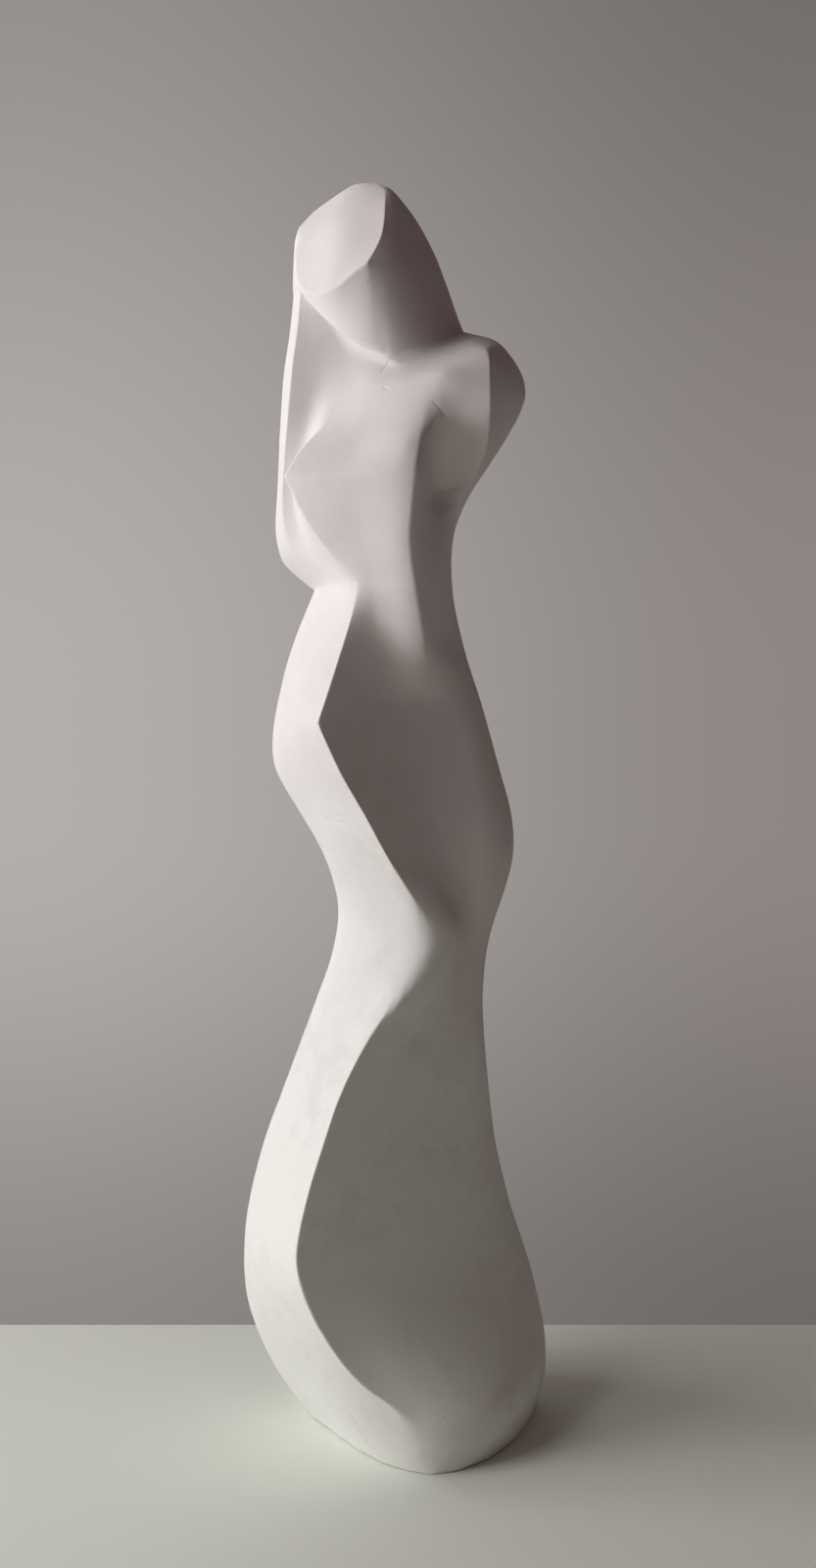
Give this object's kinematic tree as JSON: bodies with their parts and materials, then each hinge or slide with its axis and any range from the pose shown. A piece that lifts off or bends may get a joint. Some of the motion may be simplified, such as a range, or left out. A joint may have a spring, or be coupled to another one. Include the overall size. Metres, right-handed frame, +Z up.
{
  "type": "abstract standing female figure sculpture",
  "caption": "Slender faceless standing female figure in white plaster, cut in long flat planes with soft turns, on a rounded foot with a flat underside",
  "frame": {"origin": "middle of the flat underside, the sole it stands on", "axes": "+Z up the figure from sole to crown, -Y towards the viewer of the display side, +X to that viewer's right"},
  "size_m": [0.1579, 0.1213, 0.635],
  "materials": {
    "plaster": "matte, hand sanded, faintly mottled"
  },
  "bodies": {
    "root": {"figure": "plaster"}
  },
  "joints": []
}
